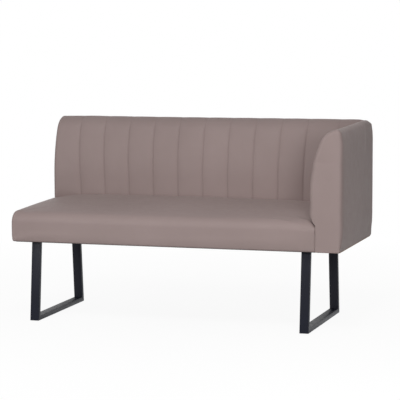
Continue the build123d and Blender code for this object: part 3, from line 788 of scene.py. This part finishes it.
class BENCH_OT_seat_cushion(bpy.types.Operator):
    """Make the crowned seat cushion"""

    bl_idname = "bench.seat_cushion"
    bl_label = "Seat cushion"

    def execute(self, context):
        wall, seat = context.scene.bench_wall, context.scene.bench_seat
        left = FRAME_LOW.x
        nose = (FRAME_LOW.y + seat.nose_radius, seat.edge_height - seat.nose_radius)
        mesh = bmesh.new()
        edges = draw_seat_section(mesh, wall, seat, nose)
        first = left + seat.end_radius + END_GAP
        sweep(mesh, edges, RIGHTWARD, [left] + even_stops(first, SEAT_RIGHT, SEAT_SECTIONS))
        shade = mesh.verts.layers.float.new(PAINTED_SHADE)
        self.crown(mesh, seat)
        rim, full = rim_edges(mesh, X, left + LEVEL), seat.end_radius
        round_end(mesh, rim, LEFTWARD, lambda point: hem_rounding(full, SEAT_CHANGE, point.z))
        self.swell_end(mesh, seat)
        fill_rim(mesh, rim_edges(mesh))
        self.tuck_in(mesh, wall, seat, nose, shade)
        piece = upholster(context, mesh, "seat_cushion", self.held)
        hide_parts("seat_cover", "seat_foam")
        return {"FINISHED"}

    def crown(self, mesh, seat):
        """Scale the crown along the seat, low at the free end and full in the middle."""
        start = FRAME_LOW.x + seat.end_radius
        for vert in mesh.verts:
            rise = vert.co.z - seat.edge_height
            if rise > 0:
                place = (vert.co.x - start) / (SEAT_RIGHT - start)
                vert.co.z = seat.edge_height + rise * crown_share(max(place, 0.0))

    def swell_end(self, mesh, seat):
        """Let the free end stand out at half its height and draw in at the hem."""
        left = FRAME_LOW.x
        for vert in mesh.verts:
            height = (vert.co.z - BASE) / (seat.edge_height - BASE)
            swell = END_SWELL * math.sin(math.pi * min(max(height, 0.0), 1.0))
            swell -= END_DRAW * max(1 - height / DRAW_SHARE, 0.0) ** 2
            vert.co.x -= swell * (1 - smooth_step(left, left + SWELL_SPAN, vert.co.x))

    def tuck_in(self, mesh, wall, seat, nose, shade):
        """Dip the crown beside arm and back, tuck it in under them, and shade the crease."""
        step = wall.bulge - wall.foot
        arm_side, back_side = SEAT_RIGHT - step * 0.6, SEAT_REAR - step * 0.8
        for vert in mesh.verts:
            over = (vert.co.z - nose[1]) / (seat.edge_height + seat.crown_rise - nose[1])
            if over > 0:
                by_arm = 1 - smooth_step(0.0, ARM_DIP_SPAN, arm_side - vert.co.x)
                by_back = 1 - smooth_step(0.0, BACK_DIP_SPAN, back_side - vert.co.y)
                vert.co.z -= (ARM_DIP * by_arm**2 + BACK_DIP * by_back**2) * min(over, 1.0)
            face = wall_face(wall, vert.co.z)
            beside = FRAME_HIGH.x - face - PLAY
            # Painted shade along the crease where the seat tucks in under the arm
            near = 1 - smooth_step(0.0, CREASE_SPAN, beside - vert.co.x)
            level = smooth_step(nose[1] + CREASE_LOW, nose[1] + CREASE_FULL, vert.co.z)
            vert[shade] = near * level
            vert.co.y = min(vert.co.y, FRAME_HIGH.y - face - PLAY)
            vert.co.x = min(vert.co.x, beside)

    def held(self, point):
        """Held at the hem and where the seat runs under the back and the arm."""
        start, full = 0.04, 0.028
        return max(
            1 - smooth_step(BASE, BASE + HEM_HOLD, point.z),
            smooth_step(SEAT_REAR - start, SEAT_REAR - full, point.y),
            smooth_step(SEAT_RIGHT - start, SEAT_RIGHT - full, point.x),
        )


CHANNEL_SECTIONS, CORNER_SECTIONS = 20, 12
# How closely the sections crowd towards the seams, from 0 to 1
CROWDING = 0.8
# Shares of a seam's depth: wide hollow, narrow hollow and fold
SEAM_SHARES = (0.55, 0.3, 0.15)
# Shade in a fold, and the share of it that fades on the crest
FOLD_SHADE, FOLD_FADE = 0.16, 0.75
# The crest drops towards the free end, over a span
END_DROP, END_DROP_SPAN = 0.003, 0.16


class BENCH_OT_back_cushion(bpy.types.Operator):
    """Make the padded back, with its sewn channels, rear and end panels"""

    bl_idname = "bench.back_cushion"
    bl_label = "Back cushion"

    def execute(self, context):
        wall, channel = context.scene.bench_wall, context.scene.bench_channels
        rear, right = FRAME_HIGH.y, FRAME_HIGH.x
        last = right - wall.bulge
        first = BACK_LEFT + channel.first_width
        seams = [first + channel.width * index for index in range(channel.count - 1)]
        mesh = bmesh.new()
        edges = draw_wall_section(
            mesh, wall, lambda depth, height: Vector((BACK_LEFT, rear - depth, height)), LEFTWARD
        )
        sweep(mesh, edges, RIGHTWARD, self.stops(wall, seams, last))
        mesh.normal_update()
        self.sew(mesh, wall, channel, seams, last)
        rim = rim_edges(mesh, X, BACK_LEFT + LEVEL)
        round_end(mesh, rim, LEFTWARD, wall_rounding(wall, lambda point: rear - point.y))
        close_cut(mesh, Vector((right, rear, 0)), Vector((1, -1, 0)).normalized())
        shape_corner(mesh, wall.corner_rise)
        piece = upholster(
            context, mesh, "back_cushion", lambda point: self.held(point, wall, seams, last)
        )
        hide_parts("back_channel_cover", "back_rear_cover", "back_end_cover", "back_foam")
        return {"FINISHED"}

    def stops(self, wall, seams, last):
        """Places of the sections along the back, close together beside each seam."""
        bounds = [BACK_LEFT + wall.side_radius + END_GAP] + seams + [last]
        places = [BACK_LEFT]
        for start, end in zip(bounds, bounds[1:]):
            for step in range(CHANNEL_SECTIONS):
                turn = 2 * math.pi * step / CHANNEL_SECTIONS
                places.append(start + (end - start) * (turn - CROWDING * math.sin(turn)) / math.tau)
        return places + even_stops(last, FRAME_HIGH.x, CORNER_SECTIONS)

    def sew(self, mesh, wall, channel, seams, last):
        """Press the seams in, shade their folds, and fan the channels towards the top."""
        low, high, _ = wall_heights(wall)
        top = FRAME_HIGH.z
        rim, inside = wall.edge_radius * 0.4, wall.edge_radius * 1.6
        middle = (seams[0] + seams[-1]) / 2
        wide, narrow, crease = SEAM_SHARES
        shade = mesh.verts.layers.float.new(PAINTED_SHADE)
        for vert in mesh.verts:
            depth_in = FRAME_HIGH.y - vert.co.y
            if depth_in > rim and vert.co.z > low:
                gap = min(abs(vert.co.x - place) for place in seams + [last])
                puff = max(1 - gap / (channel.width / 2), 0.0)
                fold = math.exp(-((gap / channel.crease) ** 2))
                upward = smooth_step(0.35, 0.95, vert.normal.z)
                depth = channel.depth + (channel.top_depth - channel.depth) * upward
                depth *= smooth_step(rim, inside, depth_in)
                depth *= smooth_step(low, high, vert.co.z)
                vert.co -= vert.normal * depth * (wide * puff**2 + narrow * puff**6 + crease * fold)
                # Painted shade in the seam's fold, with less of it on the crest that faces up
                vert[shade] = FOLD_SHADE * fold * (1 - FOLD_FADE * upward)
            level = smooth_step(low, top, vert.co.z) - 0.5
            reach = smooth_step(BACK_LEFT, seams[0], vert.co.x)
            reach *= 1 - smooth_step(seams[-1], last, vert.co.x)
            vert.co.x += level * reach * (channel.fan * (vert.co.x - middle) - channel.lean)
            by_end = 1 - smooth_step(BACK_LEFT, BACK_LEFT + END_DROP_SPAN, vert.co.x)
            vert.co.z -= END_DROP * by_end * smooth_step(high, top, vert.co.z)

    def held(self, point, wall, seams, last):
        """Held along the seams, the flat rear, the foot, the corner and the end panel."""
        rear = FRAME_HIGH.y
        gap = min(abs(point.x - place) for place in seams)
        return max(
            1 - smooth_step(0.004, 0.012, gap),
            smooth_step(rear - wall.edge_radius, rear - 0.004, point.y),
            1 - smooth_step(BASE + WALL_RISE * 0.15, wall_heights(wall)[0], point.z),
            smooth_step(last - 0.01, last, point.x),
            1 - smooth_step(BACK_LEFT, BACK_LEFT + 0.004, point.x),
        )


ARM_SECTIONS = 74
# The outer side of the arm rounds off at the rear corner over this length
ARM_CORNER, ARM_CORNER_SECTIONS = 0.018, 6
# Heights over which the padded outer side fills out, above the hem and below the crest
SIDE_RISE, SIDE_DROP = 0.09, 0.07


class BENCH_OT_arm_cushion(bpy.types.Operator):
    """Make the padded arm, with its plain inner side, outer side and front panel"""

    bl_idname = "bench.arm_cushion"
    bl_label = "Arm cushion"

    def execute(self, context):
        wall = context.scene.bench_wall
        front, rear, right = FRAME_LOW.y, FRAME_HIGH.y, FRAME_HIGH.x
        mesh = bmesh.new()
        edges = draw_wall_section(
            mesh, wall, lambda depth, height: Vector((right - depth, front, height)), REARWARD
        )
        sweep(mesh, edges, REARWARD, self.stops(wall))
        mesh.verts.layers.float.new(PAINTED_SHADE)
        self.pad_side(mesh, wall)
        rim = rim_edges(mesh, Y, front + LEVEL)
        round_end(mesh, rim, FORWARD, wall_rounding(wall, lambda point: right - point.x))
        close_cut(mesh, Vector((right, rear, 0)), Vector((-1, 1, 0)).normalized())
        shape_corner(mesh, wall.corner_rise)
        piece = upholster(context, mesh, "arm_cushion", lambda point: self.held(point, wall))
        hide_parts("arm_inner_cover", "arm_outer_cover", "arm_front_cover", "arm_foam")
        return {"FINISHED"}

    def stops(self, wall):
        """Places of the sections along the arm, closer together at the rear corner."""
        front, rear = FRAME_LOW.y, FRAME_HIGH.y
        places = [front]
        places += even_stops(front + wall.side_radius + END_GAP, rear - ARM_CORNER, ARM_SECTIONS)
        for step in range(1, ARM_CORNER_SECTIONS + 1):
            angle = math.pi / 2 * step / ARM_CORNER_SECTIONS
            places.append(rear - ARM_CORNER * math.cos(angle))
        return places

    def pad_side(self, mesh, wall):
        """Let the outer side stand out, and round it off at the rear corner."""
        right, rear, top = FRAME_HIGH.x, FRAME_HIGH.y, FRAME_HIGH.z
        for vert in mesh.verts:
            outward = 1 - smooth_step(0.0, wall.edge_radius * 1.5, right - vert.co.x)
            upward = smooth_step(BASE, BASE + SIDE_RISE, vert.co.z)
            upward *= 1 - smooth_step(top - SIDE_DROP, top, vert.co.z)
            inward = 1 - min(max(rear - vert.co.y, 0.0) / ARM_CORNER, 1.0)
            vert.co.x += wall.side_bulge * outward * upward * math.sqrt(1 - inward**2)

    def held(self, point, wall):
        """Held at the hem, the foot, the corner and the rear rim."""
        right, rear = FRAME_HIGH.x, FRAME_HIGH.y
        foot = 1 - smooth_step(BASE + WALL_RISE * 0.2, BASE + WALL_RISE * 0.3, point.z)
        corner = smooth_step(rear - wall.bulge - 0.01, rear - wall.bulge, point.y)
        return max(
            1 - smooth_step(BASE, BASE + HEM_HOLD, point.z),
            foot * (point.x < right - 0.06),
            corner * (point.x < right - 0.004),
            smooth_step(rear - 0.02, rear - 0.01, point.y),
        )


# ---- Steel, frame and underside


class BENCH_OT_skids(bpy.types.Operator):
    """Coat the skids and round the long edges of their drawn tube"""

    bl_idname = "bench.skids"
    bl_label = "Skids"

    def execute(self, context):
        steel = steel_material(context.scene.bench_finishes)
        dress(steel, nodes_of("skid_steel"))
        for side in ("left", "right"):
            node = f"{side}_skid_frame"
            mesh = bmesh.new()
            mesh.from_mesh(frame["nodes"][node].data)
            bmesh.ops.remove_doubles(mesh, verts=mesh.verts[:], dist=TOUCH)
            bmesh.ops.dissolve_limit(
                mesh, angle_limit=math.radians(2), verts=mesh.verts[:], edges=mesh.edges[:]
            )
            bmesh.ops.bevel(
                mesh,
                geom=self.long_edges(mesh),
                offset=context.scene.bench_steel.corner,
                affect="EDGES",
                segments=3,
                profile=0.5,
                material=-1,
                clamp_overlap=True,
            )
            piece = finish_piece(mesh, f"{side}_skid_tube", steel)
            piece.data.set_sharp_from_angle(angle=math.radians(35))
            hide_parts(node)
        return {"FINISHED"}

    def long_edges(self, mesh):
        """Sharp edges along the tubes, without the small ones of holes and strips."""
        sharp, shortest = math.radians(60), 0.03
        return [
            edge
            for edge in mesh.edges
            if len(edge.link_faces) == 2
            and edge.calc_face_angle() > sharp
            and edge.calc_length() > shortest
        ]


class BENCH_OT_timber_frame(bpy.types.Operator):
    """Give each rail, post and block softwood with its grain along it"""

    bl_idname = "bench.timber_frame"
    bl_label = "Timber frame"

    def execute(self, context):
        finish = context.scene.bench_finishes
        names = ("softwood along the bench", "softwood across the bench", "upright softwood")
        woods = [
            wood_material(name, finish.timber, finish.timber_grain, along)
            for along, name in enumerate(names)
        ]
        for name in nodes_of("timber"):
            low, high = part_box(name)
            size = high - low
            dress(woods[max(range(3), key=lambda axis: size[axis])], [name])
        return {"FINISHED"}


class BENCH_OT_ribs_and_boards(bpy.types.Operator):
    """Finish the plywood ribs and the hardboard under the foam"""

    bl_idname = "bench.ribs_and_boards"
    bl_label = "Ribs and boards"

    def execute(self, context):
        finish = context.scene.bench_finishes
        plywood = wood_material("birch plywood", finish.plywood, finish.timber_grain, Z)
        dress(plywood, nodes_of("plywood"))
        dress(board_material(finish), nodes_of("hardboard"))
        return {"FINISHED"}


class BENCH_OT_underside(bpy.types.Operator):
    """Finish the webbing and the dust cloth under the seat"""

    bl_idname = "bench.underside"
    bl_label = "Webbing and dust cloth"

    def execute(self, context):
        finish = context.scene.bench_finishes
        dress(cloth_material("elastic webbing", finish.webbing, 900.0), nodes_of("webbing"))
        dress(cloth_material("dust cloth", finish.cloth, 700.0), nodes_of("dust_cloth"))
        return {"FINISHED"}


class BENCH_OT_fittings(bpy.types.Operator):
    """Finish the bolts, the tee nuts and the floor glides"""

    bl_idname = "bench.fittings"
    bl_label = "Bolts, nuts and glides"

    def execute(self, context):
        finish = context.scene.bench_finishes
        dress(zinc_material(finish), nodes_of("zinc_steel"))
        dress(nylon_material(finish), nodes_of("glide"))
        return {"FINISHED"}


# ---- Stage

# Name, place, target, size and power of each lamp
LAMPS = (
    ("key light", (0.7, -4.9, 6.7), (0.0, 0.0, 0.5), 2.4, 214.0),
    ("left light", (-1.2, -2.5, 1.1), (-0.4, -0.2, 0.4), 0.9, 19.0),
    ("right light", (1.45, -2.1, 1.0), (0.6, -0.2, 0.4), 0.5, 14.0),
)
# Place, target and roll of the camera
CAMERA_VIEW = ((2.678, -8.7623, 1.5318), (0.0338, 0.0, 0.526), math.radians(-0.15))
CAMERA_LENS = 187.1
WHITE = (1.0, 1.0, 1.0, 1.0)
# Strength of the room's light on the bench
ROOM_LIGHT = 0.12
# How far the floor darkens towards the bench, and the scale of its gradient
SHADOW_SHARE, SHADOW_SCALE = 0.08, 0.35


class BENCH_OT_stage(bpy.types.Operator):
    """Set the floor, the light and the camera"""

    bl_idname = "bench.stage"
    bl_label = "Stage"

    def execute(self, context):
        scene = context.scene
        scene.view_settings.view_transform = "Standard"
        self.floor(scene)
        self.world(scene)
        for lamp in LAMPS:
            self.lamp(scene, *lamp)
        self.camera(scene)
        return {"FINISHED"}

    def stand(self, scene, name, data, place, target, roll=0.0):
        """Stand a lamp or the camera at a place and turn it to its target."""
        thing = bpy.data.objects.new(name, data)
        scene.collection.objects.link(thing)
        thing.location = place
        thing.rotation_mode = "QUATERNION"
        turn = (Vector(target) - Vector(place)).to_track_quat("-Z", "Y")
        thing.rotation_quaternion = turn @ Quaternion((0.0, 0.0, 1.0), roll)
        return thing

    def lamp(self, scene, name, place, target, size, power):
        """A round soft lamp."""
        data = bpy.data.lights.new(name, "AREA")
        data.shape = "DISK"
        data.size = size
        data.energy = power
        self.stand(scene, name, data, place, target)

    def camera(self, scene):
        """The camera at the photograph's angle."""
        data = bpy.data.cameras.new("camera")
        data.sensor_width = 36.0
        data.lens = CAMERA_LENS
        data.clip_end = 60.0
        scene.camera = self.stand(scene, "camera", data, *CAMERA_VIEW)

    def floor(self, scene):
        """A pale floor, white when seen save for a faint shadow round the bench."""
        mesh = bmesh.new()
        bmesh.ops.create_grid(mesh, x_segments=4, y_segments=4, size=20.0)
        data = bpy.data.meshes.new("floor")
        mesh.to_mesh(data)
        mesh.free()
        made = Surface("pale floor")
        fill_in(made.shader, Roughness=0.9, Specular_IOR_Level=0.1)
        seen = made.seen()
        made.paint(made.blend(seen, (0.5, 0.5, 0.5), (0.95, 0.95, 0.95)))
        near = made.add("ShaderNodeTexGradient", gradient_type="SPHERICAL")
        made.link(made.stretched([SHADOW_SCALE] * 3), near.inputs["Vector"])
        shaded = made.maths("MULTIPLY", near.outputs["Fac"], SHADOW_SHARE)
        glow = made.add("ShaderNodeEmission")
        fill_in(glow, Color=WHITE)
        mix = made.add("ShaderNodeMixShader")
        glowing = made.maths("MULTIPLY", seen, made.maths("SUBTRACT", 1.0, shaded))
        made.link(glowing, mix.inputs[0])
        made.link(made.shader.outputs[0], mix.inputs[1])
        made.link(glow.outputs[0], mix.inputs[2])
        made.link(mix.outputs[0], made.tree.nodes["Material Output"].inputs["Surface"])
        data.materials.append(made.owner)
        floor = bpy.data.objects.new("floor", data)
        scene.collection.objects.link(floor)

    def world(self, scene):
        """A room that is white when seen and throws only soft light on the bench."""
        scene.world = bpy.data.worlds.new("pale room")
        made = Nodes(scene.world)
        back = made.tree.nodes["Background"]
        fill_in(back, Color=WHITE)
        level = made.mapped(made.seen(), To_Min=ROOM_LIGHT, To_Max=1.0)
        made.link(level, back.inputs["Strength"])


# ---- Panel and registration


class BENCH_PT_panel(bpy.types.Panel):
    """Panel that lists the steps, the sizes and the colours"""

    bl_idname = "BENCH_PT_panel"
    bl_label = "Corner bench"
    bl_space_type = "VIEW_3D"
    bl_region_type = "UI"
    bl_category = "Bench"

    def draw(self, context):
        for step in STEPS:
            self.layout.operator(step.bl_idname)
        for group in GROUPS:
            settings = getattr(context.scene, group)
            box = self.layout.box()
            for name in settings.__annotations__:
                box.prop(settings, name)


GROUPS = {
    "bench_wall": BenchWallSizes,
    "bench_channels": BenchChannelSizes,
    "bench_seat": BenchSeatSizes,
    "bench_steel": BenchSteelSizes,
    "bench_finishes": BenchFinishes,
}
STEPS = (
    BENCH_OT_seat_cushion,
    BENCH_OT_back_cushion,
    BENCH_OT_arm_cushion,
    BENCH_OT_skids,
    BENCH_OT_timber_frame,
    BENCH_OT_ribs_and_boards,
    BENCH_OT_underside,
    BENCH_OT_fittings,
    BENCH_OT_stage,
)


def register():
    """Register the groups, the operators and the panel."""
    for kind in (*GROUPS.values(), *STEPS, BENCH_PT_panel):
        bpy.utils.register_class(kind)
    for name, kind in GROUPS.items():
        setattr(bpy.types.Scene, name, bpy.props.PointerProperty(type=kind))


def unregister():
    """Take everything back out."""
    for name in GROUPS:
        delattr(bpy.types.Scene, name)
    for kind in (BENCH_PT_panel, *reversed(STEPS), *reversed(GROUPS.values())):
        bpy.utils.unregister_class(kind)


def main():
    """Build the bench step by step."""
    register()
    bpy.ops.bench.seat_cushion()
    bpy.ops.bench.back_cushion()
    bpy.ops.bench.arm_cushion()
    bpy.ops.bench.skids()
    bpy.ops.bench.timber_frame()
    bpy.ops.bench.ribs_and_boards()
    bpy.ops.bench.underside()
    bpy.ops.bench.fittings()
    bpy.ops.bench.stage()


if __name__ == "__main__":
    main()
